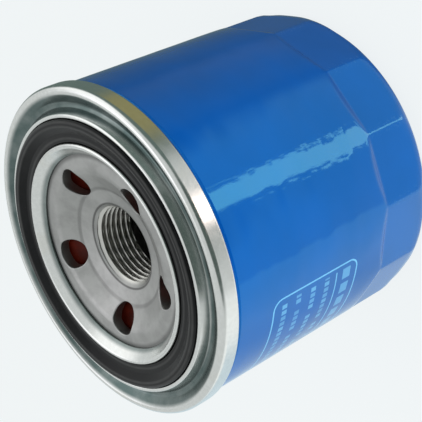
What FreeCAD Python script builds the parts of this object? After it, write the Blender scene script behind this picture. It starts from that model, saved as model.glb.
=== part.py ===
"""Spin-on engine oil filter, as a parametric FreeCAD document.

The filter stands on its closed end with the threaded face up. Z is its axis, Z = 0 is the outside of the
closed end, and +X passes through one of the inlet holes. Lengths are millimetres.
"""
import FreeCAD, Part
import math
import os
import Sketcher
from FreeCAD import Vector

# Driving dimensions: alias, value, what it is.
DIMENSIONS = [
    ("ring_radius", 40.0, "outside of the seam ring"),
    ("ring_top", 70.85, "front of the seam ring"),
    ("seam_depth", 4.85, "height of the double seam"),
    ("lip_top", 71.65, "front of the lid's inner lip and of the crest outside the gasket"),
    ("lid_sheet", 0.5, "thickness of the lid's sheet"),
    ("can_radius", 39.2, "outside of the can"),
    ("can_sheet", 0.45, "thickness of the can's sheet"),
    ("can_neck", 37.95, "inside of the can's rim in the seam"),
    ("can_rim", 69.6, "top of the can's rim in the seam"),
    ("can_corner", 6.3, "corner radius of the closed end"),
    ("dimple_radius", 22.0, "shallow recess in the closed end"),
    ("dimple_depth", 1.0, "depth of that recess"),
    ("flats", 14, "wrench flats round the closed end"),
    ("flat_top", 19.5, "where a flat runs out into the can"),
    ("flat_turn", 7.05, "angle of the first flat from +X"),
    ("gasket_top", 72.3, "sealing face of the gasket"),
    ("gasket_radius", 32.65, "outside of the gasket"),
    ("gasket_inside", 27.05, "inside of the gasket"),
    ("gasket_crease", 29.3, "foot of the slope up to the sealing band"),
    ("groove_floor", 67.4, "floor of the gasket groove"),
    ("channel_floor", 69.1, "floor of the channel between the crest and the seam ring"),
    ("plate_sheet", 2.6, "thickness of the base plate"),
    ("plate_radius", 36.5, "outside of the base plate, under the lid"),
    ("shelf_top", 69.05, "level rim of the base plate's dish, under the lid's lip"),
    ("shelf_radius", 20.1, "inside of that rim"),
    ("hub_top", 65.3, "mouth of the thread"),
    ("hub_radius", 14.4, "knee between the hub and the dish's slope"),
    ("neck_radius", 12.4, "outside of the threaded neck"),
    ("neck_bottom", 54.8, "lower end of the threaded neck"),
    ("thread_minor", 9.19, "crest radius of the M20 x 1.5 internal thread"),
    ("thread_major", 10.0, "root radius of the thread"),
    ("thread_pitch", 1.5, "pitch of the thread"),
    ("thread_turns", 6, "turns of the thread"),
    ("welds", 8, "spot welds that hold the lid on the base plate"),
    ("weld_circle", 30.0, "radius of the circle of welds"),
    ("weld_radius", 2.0, "radius of a weld nugget"),
    ("weld_bite", 0.3, "how far a nugget reaches into each sheet"),
    ("inlets", 5, "oil inlet holes"),
    ("inlet_circle", 17.95, "radius of the circle of inlet holes"),
    ("inlet_radius", 3.6, "radius of an inlet hole"),
    ("collar_radius", 14.2, "outside of the drain-back valve's collar"),
    ("valve_radius", 23.9, "outside of the drain-back valve's lip"),
    ("valve_sheet", 1.2, "thickness of the lip"),
    ("element_top", 57.5, "top of the filter element"),
    ("element_bottom", 12.0, "bottom of the filter element"),
    ("element_radius", 33.5, "outside of the end caps"),
    ("cap_sheet", 0.5, "thickness of the end caps"),
    ("cap_rim", 2.7, "height of the end caps' outer rim"),
    ("cap_bore", 13.0, "hole in the upper end cap"),
    ("potting", 1.4, "depth of the adhesive in an end cap"),
    ("tube_radius", 16.0, "outside of the centre tube"),
    ("tube_hole", 1.6, "radius of a hole in the centre tube"),
    ("tube_columns", 10, "holes round the centre tube"),
    ("tube_rows", 7, "rows of holes up the centre tube"),
    ("tube_spacing", 6.0, "distance between the rows"),
    ("paper_inside", 16.9, "inner folds of the paper"),
    ("paper_radius", 32.6, "outer folds of the paper"),
    ("paper_sheet", 0.5, "thickness of the paper"),
    ("pleats", 44, "folds in the paper"),
    ("port_radius", 7.0, "bypass port in the lower end cap"),
    ("poppet_radius", 9.6, "outside of the bypass valve's disc"),
    ("poppet_gap", 0.1, "slack under the bypass valve's seal"),
    ("cage_radius", 10.9, "outside of the bypass valve's cage"),
    ("cage_height", 12.5, "height of the cage"),
    ("cage_windows", 4, "windows in the cage's wall"),
    ("bypass_wire", 0.9, "wire of the bypass spring"),
    ("bypass_coil", 6.0, "coil radius of the bypass spring"),
    ("hold_wire", 2.0, "wire of the hold-down spring"),
    ("hold_coil", 16.0, "coil radius of the hold-down spring"),
]

doc = FreeCAD.newDocument("oil_filter")
dims = doc.addObject("Spreadsheet::Sheet", "dims")
for row, (alias, value, meaning) in enumerate(DIMENSIONS, 1):
    dims.set("A%d" % row, meaning)
    dims.set("B%d" % row, str(value))
    dims.setAlias("B%d" % row, alias)
doc.recompute()

subparts = []


def size(expression):
    """The present value of an expression on the sheet."""
    return float(dims.evalExpression(str(expression)))


def new_body(label):
    """An empty body that becomes one sub-part."""
    body = doc.addObject("PartDesign::Body", label)
    body.Label = label
    subparts.append(body)
    return body


def datum(body, role):
    """One of the body's own origin planes or axes."""
    return next(f for f in body.Origin.OriginFeatures if f.Role == role)


def new_sketch(body, name, plane="XZ_Plane"):
    """A sketch on one of the body's origin planes. On XZ it reads as (radius, height)."""
    sketch = body.newObject("Sketcher::SketchObject", name)
    sketch.AttachmentSupport = [(datum(body, plane), "")]
    sketch.MapMode = "FlatFace"
    return sketch


def bind(sketch, constraint, expression):
    """Add a dimension to a sketch and tie it to the sheet."""
    index = sketch.addConstraint(constraint)
    sketch.setExpression("Constraints[%d]" % index, str(expression))


def place_point(sketch, geometry, end, across, up):
    """Fix a point of a sketch at two expressions, measured from the sketch's origin."""
    for kind, expression in (("DistanceX", across), ("DistanceY", up)):
        value = size(expression)
        if value == 0 and str(expression) == "0":
            axis = -2 if kind == "DistanceX" else -1
            sketch.addConstraint(Sketcher.Constraint("PointOnObject", geometry, end, axis))
        else:
            bind(sketch, Sketcher.Constraint(kind, -1, 1, geometry, end, value), expression)


def outline(sketch, corners):
    """A closed outline through corners (across, up) or (across, up, rounding), each an expression.

    A rounded corner is an arc tangent to both of its lines, which are held through the corner's own point.
    """
    points = [Vector(size(c[0]), size(c[1]), 0) for c in corners]
    radii = [size(c[2]) if len(c) > 2 else 0.0 for c in corners]
    starts, ends, arcs = list(points), list(points), {}
    for i, radius in enumerate(radii):
        if not radius:
            continue
        here = points[i]
        back = (points[i - 1] - here).normalize()
        ahead = (points[(i + 1) % len(points)] - here).normalize()
        half = back.getAngle(ahead) / 2
        centre = here + (back + ahead).normalize() * (radius / math.sin(half))
        ends[i] = here + back * (radius / math.tan(half))
        starts[i] = here + ahead * (radius / math.tan(half))
        middle = centre + (here - centre).normalize() * radius
        arcs[i] = Part.Arc(ends[i], middle, starts[i])
    lines = []
    for i in range(len(points)):
        j = (i + 1) % len(points)
        lines.append(sketch.addGeometry(Part.LineSegment(starts[i], ends[j]), False))
    for i, corner in enumerate(corners):
        before, after = lines[i - 1], lines[i]
        if i not in arcs:
            sketch.addConstraint(Sketcher.Constraint("Coincident", before, 2, after, 1))
            place_point(sketch, after, 1, corner[0], corner[1])
            continue
        arc = sketch.addGeometry(arcs[i], False)
        turns_left = (ends[i] - points[i]).cross(starts[i] - points[i]).z < 0
        first, last = (1, 2) if turns_left else (2, 1)
        sketch.addConstraint(Sketcher.Constraint("Tangent", before, 2, arc, first))
        sketch.addConstraint(Sketcher.Constraint("Tangent", arc, last, after, 1))
        bind(sketch, Sketcher.Constraint("Radius", arc, radii[i]), corner[2])
        point = sketch.addGeometry(Part.Point(points[i]), True)
        sketch.addConstraint(Sketcher.Constraint("PointOnObject", point, 1, before))
        sketch.addConstraint(Sketcher.Constraint("PointOnObject", point, 1, after))
        place_point(sketch, point, 1, corner[0], corner[1])


def circle(sketch, across, up, radius):
    """A circle in a sketch, placed and sized by expressions."""
    centre = Vector(size(across), size(up), 0)
    index = sketch.addGeometry(Part.Circle(centre, Vector(0, 0, 1), size(radius)), False)
    bind(sketch, Sketcher.Constraint("Radius", index, size(radius)), radius)
    place_point(sketch, index, 3, across, up)


def turned(label, corners):
    """A body turned about Z from the closed outline of its section."""
    body = new_body(label)
    section = new_sketch(body, label + "_section")
    outline(section, corners)
    turn = body.newObject("PartDesign::Revolution", label + "_turn")
    turn.Profile = section
    turn.ReferenceAxis = (section, ["V_Axis"])
    turn.Angle = 360
    doc.recompute()
    return body


def groove(body, name, corners):
    """Turn a closed outline about Z and take it out of the body."""
    section = new_sketch(body, name + "_section")
    outline(section, corners)
    cut = body.newObject("PartDesign::Groove", name)
    cut.Profile = section
    cut.ReferenceAxis = (section, ["V_Axis"])
    cut.Angle = 360
    return cut


def pocket_through(body, name, sketch, length, both_ways=False):
    """Take a sketch out of the body along its normal, and make sure that it takes something away."""
    doc.recompute()
    before = body.Shape.Volume
    pocket = body.newObject("PartDesign::Pocket", name)
    pocket.Profile = sketch
    pocket.SideType = "Symmetric" if both_ways else "One side"
    pocket.setExpression("Length", str(length))
    doc.recompute()
    if before - body.Shape.Volume < 1e-3:
        pocket.Reversed = True
        doc.recompute()
    return pocket


def repeat_round(body, name, feature, count):
    """Repeat a feature evenly round Z."""
    pattern = body.newObject("PartDesign::PolarPattern", name)
    pattern.Originals = [feature]
    pattern.Axis = (datum(body, "Z_Axis"), [""])
    pattern.Angle = 360
    pattern.setExpression("Occurrences", str(count))
    body.Tip = pattern
    return pattern


def check_cut(body, before, what):
    """Stop if a cut or a pattern left the body's volume as it was."""
    doc.recompute()
    if before - body.Shape.Volume < 1e-3:
        raise RuntimeError(what + " took nothing away")


def coil(label, coil_radius, wire, bottom, top, turns):
    """A round-wire compression spring between two heights, as a circle swept along a helix."""
    spine = doc.addObject("Part::Helix", label + "_spine")
    spine.setExpression("Radius", coil_radius)
    spine.setExpression("Height", "(%s) - (%s) - %s" % (top, bottom, wire))
    spine.setExpression("Pitch", "((%s) - (%s) - %s) / %s" % (top, bottom, wire, turns))
    spine.setExpression("Placement.Base.z", "(%s) + %s / 2" % (bottom, wire))
    section = doc.addObject("Part::Circle", label + "_section")
    section.setExpression("Radius", "%s / 2" % wire)
    section.Placement = FreeCAD.Placement(Vector(0, 0, 0), FreeCAD.Rotation(Vector(1, 0, 0), 90))
    section.setExpression("Placement.Base.x", coil_radius)
    section.setExpression("Placement.Base.z", "(%s) + %s / 2" % (bottom, wire))
    spring = doc.addObject("Part::Sweep", label)
    spring.Label = label
    spring.Sections = [section]
    spring.Spine = (spine, ["Edge1"])
    spring.Solid = True
    spring.Frenet = True
    subparts.append(spring)


# ---- Can: a drawn steel cup with wrench flats, its rim folded out into the double seam -----------

SEAM_BOTTOM = "dims.ring_top - dims.seam_depth"
HOOK_RADIUS = "dims.ring_radius - dims.lid_sheet - 0.1"
INNER_FLAT = "dims.can_radius * cos(180 / dims.flats) - dims.can_sheet"

can = turned("can", [
    ("0", "dims.dimple_depth"),
    ("dims.dimple_radius", "dims.dimple_depth"),
    ("dims.dimple_radius + 1.5", "0"),
    ("dims.can_radius", "0", "dims.can_corner"),
    ("dims.can_radius", SEAM_BOTTOM + " - 1.0"),
    ("dims.can_neck + dims.can_sheet", SEAM_BOTTOM + " - 0.1"),
    ("dims.can_neck + dims.can_sheet", "dims.can_rim - dims.can_sheet"),
    (HOOK_RADIUS + " - dims.can_sheet", "dims.can_rim - dims.can_sheet"),
    (HOOK_RADIUS + " - dims.can_sheet", SEAM_BOTTOM + " + 1.2"),
    (HOOK_RADIUS, SEAM_BOTTOM + " + 1.2"),
    (HOOK_RADIUS, "dims.can_rim", "0.35"),
    ("dims.can_neck", "dims.can_rim", "0.35"),
    ("dims.can_neck", SEAM_BOTTOM + " - 0.3"),
    ("dims.can_radius - dims.can_sheet", SEAM_BOTTOM + " - 1.2"),
    ("dims.can_radius - dims.can_sheet", "dims.flat_top + 1"),
    (INNER_FLAT, "dims.flat_top - 1"),
    (INNER_FLAT, "dims.can_sheet", "dims.can_corner - 1.2"),
    ("dims.dimple_radius + 1.7", "dims.can_sheet"),
    ("dims.dimple_radius + 0.2", "dims.dimple_depth + dims.can_sheet"),
    ("0", "dims.dimple_depth + dims.can_sheet"),
])
APOTHEM = "dims.can_radius * cos(180 / dims.flats)"
flat_sketch = new_sketch(can, "flat_section")
outline(flat_sketch, [
    (APOTHEM, "-1"),
    ("dims.can_radius + 3", "-1"),
    ("dims.can_radius + 3", "dims.flat_top + 8"),
    ("dims.can_radius", "dims.flat_top"),
    (APOTHEM, "dims.flat_top - 2.2"),
])
round_can = can.Shape.Volume
flat = pocket_through(can, "wrench_flat", flat_sketch, "dims.can_radius", both_ways=True)
repeat_round(can, "wrench_flats", flat, "dims.flats")
check_cut(can, round_can, "the wrench flats")
can.setExpression("Placement.Rotation.Angle", "dims.flat_turn")

# ---- Lid: thin sheet pressed into the gasket groove, a channel and the double seam ---------------

GROOVE_IN = "dims.gasket_inside - 0.1"
GROOVE_OUT = "dims.gasket_radius + 0.1"
SLEEVE = "dims.can_neck + dims.can_sheet + 0.05"

turned("seaming_lid", [
    ("23.75", "dims.shelf_top + 0.07"),
    ("23.75", "69.4", "0.5"),
    ("26.0", "dims.lip_top", "0.9"),
    (GROOVE_IN, "dims.lip_top", "0.5"),
    (GROOVE_IN, "dims.groove_floor", "0.3"),
    (GROOVE_OUT, "dims.groove_floor", "0.3"),
    (GROOVE_OUT, "dims.lip_top", "0.4"),
    ("33.7", "dims.lip_top", "0.5"),
    ("34.75", "dims.channel_floor", "0.9"),
    ("35.9", "dims.channel_floor", "1.6"),
    ("38.2", "dims.ring_top", "1.2"),
    ("dims.ring_radius", "dims.ring_top", "1.3"),
    ("dims.ring_radius", SEAM_BOTTOM, "0.6"),
    (SLEEVE, SEAM_BOTTOM, "0.3"),
    (SLEEVE, "dims.can_rim - 0.8"),
    (HOOK_RADIUS + " - dims.can_sheet - 0.05", "dims.can_rim - 0.8"),
    (HOOK_RADIUS + " - dims.can_sheet - 0.05", SEAM_BOTTOM + " + dims.lid_sheet"),
    ("dims.ring_radius - dims.lid_sheet", SEAM_BOTTOM + " + dims.lid_sheet"),
    ("dims.ring_radius - dims.lid_sheet", "dims.ring_top - dims.lid_sheet", "0.8"),
    ("38.37", "dims.ring_top - dims.lid_sheet", "0.6"),
    ("36.07", "dims.channel_floor - dims.lid_sheet", "2.0"),
    ("34.42", "dims.channel_floor - dims.lid_sheet", "0.4"),
    ("33.3", "dims.lip_top - dims.lid_sheet"),
    (GROOVE_OUT + " + dims.lid_sheet", "dims.groove_floor - dims.lid_sheet", "0.3"),
    (GROOVE_IN + " - dims.lid_sheet", "dims.groove_floor - dims.lid_sheet", "0.3"),
    (GROOVE_IN + " - dims.lid_sheet", "dims.lip_top - dims.lid_sheet - 0.05"),
    ("26.2", "dims.lip_top - dims.lid_sheet - 0.05", "0.3"),
    ("24.25", "dims.shelf_top + 0.07"),
])

turned("seam_sealant", [
    ("dims.can_neck + 0.5", "dims.can_rim + 0.02"),
    (HOOK_RADIUS + " - 0.5", "dims.can_rim + 0.02"),
    (HOOK_RADIUS + " - 0.5", "dims.can_rim + 0.4"),
    ("dims.can_neck + 0.5", "dims.can_rim + 0.4"),
])

# ---- Gasket: a ring with a level inner lip and a slope up to its sealing band --------------------

turned("gasket", [
    ("dims.gasket_inside", "dims.groove_floor", "0.35"),
    ("dims.gasket_radius", "dims.groove_floor", "0.35"),
    ("dims.gasket_radius", "dims.gasket_top", "0.6"),
    ("dims.gasket_radius - 1.6", "dims.gasket_top", "0.5"),
    ("dims.gasket_crease", "dims.gasket_top - 1.25", "0.3"),
    ("dims.gasket_inside", "dims.gasket_top - 1.2", "0.4"),
])

# ---- Base plate: a thick pressed plate, dished towards its threaded neck, with a circle of inlet holes --

FLANGE_TOP = "dims.groove_floor - dims.lid_sheet"
UNDER_HUB = "dims.hub_top - dims.plate_sheet"
plate = turned("base_plate", [
    ("dims.thread_minor", "dims.neck_bottom + 0.8"),
    ("dims.thread_major", "dims.neck_bottom"),
    ("dims.neck_radius", "dims.neck_bottom", "0.5"),
    ("dims.neck_radius", UNDER_HUB, "0.6"),
    ("dims.hub_radius", UNDER_HUB + " + 0.7", "1.0"),
    ("dims.shelf_radius - 0.1", "dims.shelf_top - dims.plate_sheet", "1.2"),
    ("24.4", "dims.shelf_top - dims.plate_sheet", "1.0"),
    ("25.9", FLANGE_TOP + " - dims.plate_sheet", "1.0"),
    ("dims.plate_radius", FLANGE_TOP + " - dims.plate_sheet", "0.4"),
    ("dims.plate_radius", FLANGE_TOP, "0.4"),
    ("26.2", FLANGE_TOP, "0.4"),
    ("24.9", "dims.shelf_top", "0.7"),
    ("dims.shelf_radius", "dims.shelf_top", "1.8"),
    ("19.0", "68.75", "1.0"),
    ("dims.hub_radius", "dims.hub_top + 0.9", "0.6"),
    ("dims.thread_major + 0.55", "dims.hub_top", "0.2"),
    ("dims.thread_minor", "dims.hub_top - 1.2"),
])
inlet_sketch = new_sketch(plate, "inlet_outline", "XY_Plane")
circle(inlet_sketch, "dims.inlet_circle", "0", "dims.inlet_radius")
inlet = pocket_through(plate, "inlet", inlet_sketch, "2 * dims.ring_top", both_ways=True)
solid_plate = plate.Shape.Volume
repeat_round(plate, "inlets", inlet, "dims.inlets")
check_cut(plate, solid_plate, "the inlet holes")

ROOT_HALF = "dims.thread_pitch / 16"
CREST_HALF = "dims.thread_pitch * 3 / 8"
THREAD_START = "dims.neck_bottom + 1.6"
plain_plate = plate.Shape.Volume
turn_groove = groove(plate, "thread_turn", [
    ("dims.thread_minor - 0.1", THREAD_START + " - (" + CREST_HALF + ") - 0.05"),
    ("dims.thread_major", THREAD_START + " - " + ROOT_HALF),
    ("dims.thread_major", THREAD_START + " + " + ROOT_HALF),
    ("dims.thread_minor - 0.1", THREAD_START + " + " + CREST_HALF + " + 0.05"),
])
doc.recompute()
thread = plate.newObject("PartDesign::LinearPattern", "thread")
thread.Originals = [turn_groove]
thread.Direction = (datum(plate, "Z_Axis"), [""])
thread.setExpression("Length", "dims.thread_pitch * (dims.thread_turns - 1)")
thread.setExpression("Occurrences", "dims.thread_turns")
plate.Tip = thread
check_cut(plate, plain_plate, "the thread")

# ---- Spot welds: nuggets under the gasket, half in the lid and half in the base plate ------------

nuggets = []
for index in range(int(size("dims.welds"))):
    nugget = doc.addObject("Part::Cylinder", "weld_nugget")
    nugget.setExpression("Radius", "dims.weld_radius")
    nugget.setExpression("Height", "2 * dims.weld_bite")
    nugget.setExpression("Placement.Base.x", "dims.weld_circle * cos(360 * %d / dims.welds)" % index)
    nugget.setExpression("Placement.Base.y", "dims.weld_circle * sin(360 * %d / dims.welds)" % index)
    nugget.setExpression("Placement.Base.z", FLANGE_TOP + " - dims.weld_bite")
    nuggets.append(nugget)
welds = doc.addObject("Part::MultiFuse", "lid_welds")
welds.Label = "lid_welds"
welds.Shapes = nuggets
subparts.append(welds)

# ---- Anti-drain-back valve: one rubber moulding, kept as its fixed collar and its flexing lip ----

turned("drainback_collar", [
    ("dims.neck_radius + 0.05", "dims.element_top"),
    ("dims.collar_radius + 2.8", "dims.element_top", "0.3"),
    ("dims.collar_radius + 2.8", "dims.element_top + 1.2", "0.5"),
    ("dims.collar_radius", "dims.element_top + 1.2", "0.6"),
    ("dims.collar_radius", UNDER_HUB + " - 0.1", "0.5"),
    ("dims.neck_radius + 0.05", UNDER_HUB + " - 0.1", "0.7"),
])
turned("drainback_lip", [
    ("dims.collar_radius + 0.4", UNDER_HUB + " + 0.3 - dims.valve_sheet", "0.4"),
    ("dims.valve_radius - 0.9", "dims.shelf_top - 2.9 - dims.valve_sheet", "0.5"),
    ("dims.valve_radius", "dims.shelf_top - 4.0", "0.3"),
    ("dims.valve_radius", "dims.shelf_top - 2.7", "0.25"),
    ("dims.valve_radius - 0.9", "dims.shelf_top - 2.9", "0.25"),
    ("dims.collar_radius + 0.4", UNDER_HUB + " + 0.3", "0.4"),
])

# ---- Filter element: end caps, adhesive, perforated tube, pleated paper and the clip that closes it --

turned("upper_end_cap", [
    ("dims.cap_bore", "dims.element_top", "0.6"),
    ("dims.element_radius", "dims.element_top", "0.9"),
    ("dims.element_radius", "dims.element_top - dims.cap_rim"),
    ("dims.element_radius - dims.cap_sheet", "dims.element_top - dims.cap_rim"),
    ("dims.element_radius - dims.cap_sheet", "dims.element_top - dims.cap_sheet", "0.4"),
    ("dims.cap_bore + dims.cap_sheet", "dims.element_top - dims.cap_sheet", "0.1"),
    ("dims.cap_bore + dims.cap_sheet", "dims.element_top - 3.2"),
    ("dims.cap_bore", "dims.element_top - 3.2"),
])
turned("lower_end_cap", [
    ("dims.port_radius", "dims.element_bottom"),
    ("dims.element_radius", "dims.element_bottom", "0.9"),
    ("dims.element_radius", "dims.element_bottom + dims.cap_rim"),
    ("dims.element_radius - dims.cap_sheet", "dims.element_bottom + dims.cap_rim"),
    ("dims.element_radius - dims.cap_sheet", "dims.element_bottom + dims.cap_sheet", "0.4"),
    ("dims.port_radius", "dims.element_bottom + dims.cap_sheet"),
])

UPPER_POT = "dims.element_top - dims.cap_sheet"
LOWER_POT = "dims.element_bottom + dims.cap_sheet"
for label, inside, low, high in (
    ("upper_potting", "dims.cap_bore + dims.cap_sheet + 0.1", UPPER_POT + " - dims.potting", UPPER_POT),
    ("lower_potting", "dims.cap_bore + 0.6", LOWER_POT, LOWER_POT + " + dims.potting"),
):
    turned(label, [
        (inside, low),
        ("dims.element_radius - dims.cap_sheet - 0.5", low),
        ("dims.element_radius - dims.cap_sheet - 0.5", high),
        (inside, high),
    ])

MEDIA_TOP = UPPER_POT + " - dims.potting"
MEDIA_BOTTOM = LOWER_POT + " + dims.potting"
tube = turned("center_tube", [
    ("dims.tube_radius - 0.5", MEDIA_BOTTOM),
    ("dims.tube_radius", MEDIA_BOTTOM),
    ("dims.tube_radius", MEDIA_TOP),
    ("dims.tube_radius - 0.5", MEDIA_TOP),
])
for row in range(int(size("dims.tube_rows"))):
    before = tube.Shape.Volume
    hole_sketch = new_sketch(tube, "tube_hole_%d_outline" % row, "YZ_Plane")
    circle(hole_sketch, "0", MEDIA_BOTTOM + " + 4.3 + dims.tube_spacing * %d" % row, "dims.tube_hole")
    hole = pocket_through(tube, "tube_hole_%d" % row, hole_sketch, "dims.tube_radius + 1")
    repeat_round(tube, "tube_holes_%d" % row, hole, "dims.tube_columns")
    check_cut(tube, before, "a row of the centre tube's holes")


def pleated_paper():
    """The paper's star section, out along one face of each fold and back, stood up between the end caps."""
    pleats = int(size("dims.pleats"))
    low, high = size(MEDIA_BOTTOM), size(MEDIA_TOP)
    half = math.pi / pleats
    deep = size("dims.paper_radius") - size("dims.paper_inside")
    lean = math.atan2(size("dims.paper_radius") * half, deep)
    step = size("dims.paper_sheet") / math.sin(lean)

    def star(tips, valleys):
        """Alternate fold tips and valleys round the axis, as a closed wire."""
        corners = []
        for k in range(2 * pleats):
            radius = tips if k % 2 == 0 else valleys
            corners.append(Vector(radius * math.cos(k * half), radius * math.sin(k * half), low))
        return Part.makePolygon(corners + corners[:1])

    outer = star(size("dims.paper_radius"), size("dims.paper_inside") + step)
    inner = star(size("dims.paper_radius") - step, size("dims.paper_inside"))
    up = Vector(0, 0, high - low)
    return Part.Face(outer).extrude(up).cut(Part.Face(inner).extrude(up))


media = doc.addObject("Part::Feature", "pleated_media")
media.Label = "pleated_media"
media.Shape = pleated_paper()
media.Placement = FreeCAD.Placement()
subparts.append(media)

clip = new_body("media_clip")
clip_sketch = new_sketch(clip, "media_clip_section", "XY_Plane")
outline(clip_sketch, [
    ("27.5", "-0.55"),
    ("dims.paper_radius - 0.2", "-0.55"),
    ("dims.paper_radius - 0.2", "0.55"),
    ("27.5", "0.55"),
    ("27.5", "0.3"),
    ("dims.paper_radius - 0.5", "0.3"),
    ("dims.paper_radius - 0.5", "-0.3"),
    ("27.5", "-0.3"),
])
clip_pad = clip.newObject("PartDesign::Pad", "media_clip_strip")
clip_pad.Profile = clip_sketch
clip_pad.setExpression("Length", MEDIA_TOP + " - (" + MEDIA_BOTTOM + ")")
clip.setExpression("Placement.Base.z", MEDIA_BOTTOM)
clip.setExpression("Placement.Rotation.Angle", "180 / dims.pleats")

# ---- Bypass valve in the lower end cap: disc and seal held down on the port by a spring in a cage --

SEAT = LOWER_POT
SEAL_BOTTOM = SEAT + " + dims.poppet_gap"
DISC_BOTTOM = SEAL_BOTTOM + " + 1.0"
CAGE_TOP = SEAT + " + dims.cage_height"

turned("bypass_seal", [
    ("dims.port_radius - 1.4", SEAL_BOTTOM),
    ("dims.poppet_radius", SEAL_BOTTOM, "0.3"),
    ("dims.poppet_radius", DISC_BOTTOM),
    ("dims.port_radius - 1.4", DISC_BOTTOM),
])
turned("bypass_poppet", [
    ("0", DISC_BOTTOM + " + 1.2"),
    ("4.0", DISC_BOTTOM + " + 1.2", "0.5"),
    ("4.6", DISC_BOTTOM, "0.5"),
    ("dims.poppet_radius", DISC_BOTTOM),
    ("dims.poppet_radius", DISC_BOTTOM + " + 0.6", "0.25"),
    ("5.1", DISC_BOTTOM + " + 0.6", "0.3"),
    ("4.6", DISC_BOTTOM + " + 1.8", "0.5"),
    ("0", DISC_BOTTOM + " + 1.8"),
])
cage = turned("bypass_cage", [
    ("dims.cage_radius - 0.5", SEAT),
    ("dims.cage_radius + 1.9", SEAT),
    ("dims.cage_radius + 1.9", SEAT + " + 0.5"),
    ("dims.cage_radius", SEAT + " + 0.5", "0.4"),
    ("dims.cage_radius", CAGE_TOP, "1.0"),
    ("3.0", CAGE_TOP),
    ("3.0", CAGE_TOP + " - 0.5"),
    ("dims.cage_radius - 0.5", CAGE_TOP + " - 0.5", "0.6"),
])
cage_wall = cage.Shape.Volume
window_sketch = new_sketch(cage, "cage_window_outline", "YZ_Plane")
circle(window_sketch, "0", SEAT + " + 6.6", "2.9")
window = pocket_through(cage, "cage_window", window_sketch, "dims.cage_radius + 3")
repeat_round(cage, "cage_windows", window, "dims.cage_windows")
check_cut(cage, cage_wall, "the cage's windows")

coil("bypass_spring", "dims.bypass_coil", "dims.bypass_wire", DISC_BOTTOM + " + 0.65",
     CAGE_TOP + " - 0.55", 4)

# ---- Hold-down spring between the closed end and the element -------------------------------------

coil("hold_down_spring", "dims.hold_coil", "dims.hold_wire", "dims.dimple_depth + dims.can_sheet + 0.05",
     "dims.element_bottom - 0.05", 3)

doc.recompute()


def check_document():
    """Stop on any object that failed, and on any sub-part that is not valid closed material."""
    for thing in doc.Objects:
        if "Invalid" in thing.State or "Error" in thing.State:
            raise RuntimeError("%s is %s" % (thing.Label, thing.State))
    for part in subparts:
        if part.Shape.isNull() or not part.Shape.isValid() or part.Shape.Volume <= 0:
            raise RuntimeError("%s has no valid shape" % part.Label)


def write_parts():
    """Write each sub-part to a STEP file of its own."""
    os.makedirs("parts", exist_ok=True)
    for part in subparts:
        part.Shape.exportStep("parts/%s.step" % part.Label)
        box = part.Shape.BoundBox
        print("%-18s %9.1f mm3  z %6.2f to %6.2f  reach %5.2f"
              % (part.Label, part.Shape.Volume, box.ZMin, box.ZMax, box.XMax))


check_document()
write_parts()
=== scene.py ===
"""Looks of a spin-on engine oil filter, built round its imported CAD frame.

Sections are (radius, height) in millimetres, the axis is Z, and the meshes are in metres.
"""

import math
from types import SimpleNamespace

import bmesh
import bpy
import numpy as np
from bpy.props import FloatProperty, FloatVectorProperty, IntProperty, PointerProperty
from bpy.types import Operator, Panel, PropertyGroup
from mathutils import Euler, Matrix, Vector


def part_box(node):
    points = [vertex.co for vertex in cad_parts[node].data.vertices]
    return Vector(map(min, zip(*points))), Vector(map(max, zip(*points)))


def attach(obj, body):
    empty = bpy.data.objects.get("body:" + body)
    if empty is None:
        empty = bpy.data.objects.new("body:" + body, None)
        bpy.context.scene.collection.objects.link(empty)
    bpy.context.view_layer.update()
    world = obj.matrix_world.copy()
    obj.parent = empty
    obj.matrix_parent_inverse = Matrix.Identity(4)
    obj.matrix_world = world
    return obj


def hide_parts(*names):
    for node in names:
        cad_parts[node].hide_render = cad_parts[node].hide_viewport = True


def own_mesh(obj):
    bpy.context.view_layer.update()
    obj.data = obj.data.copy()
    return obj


bl_info = {
    "name": "Spin-on oil filter",
    "version": (1, 0, 0),
    "blender": (4, 5, 0),
    "location": "3D View > Sidebar > Oil filter",
    "description": "Builds the visible pieces and the finishes of a spin-on oil filter",
    "category": "Object",
}

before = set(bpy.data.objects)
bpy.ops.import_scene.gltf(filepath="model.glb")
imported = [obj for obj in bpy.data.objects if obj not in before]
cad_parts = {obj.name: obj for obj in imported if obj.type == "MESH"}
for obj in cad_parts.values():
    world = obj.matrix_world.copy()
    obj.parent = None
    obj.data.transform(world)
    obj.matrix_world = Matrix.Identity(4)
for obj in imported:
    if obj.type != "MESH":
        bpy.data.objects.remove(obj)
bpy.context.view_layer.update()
MM = 0.001
LID_BOX, CAN_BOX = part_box("seaming_lid"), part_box("can")
GASKET_BOX, PLATE_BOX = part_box("gasket"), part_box("base_plate")


# ---- Settings ----

def length(name, description, metres):
    """A length that the user can change, in Blender's own units."""
    return FloatProperty(name=name, description=description, default=metres, min=0, unit="LENGTH",
                         precision=5)


def colour(name, description, red, green, blue):
    """A colour that the user can change, as scene-linear light."""
    return FloatVectorProperty(name=name, description=description, default=(red, green, blue),
                               min=0, max=1, size=3, subtype="COLOR")


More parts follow.
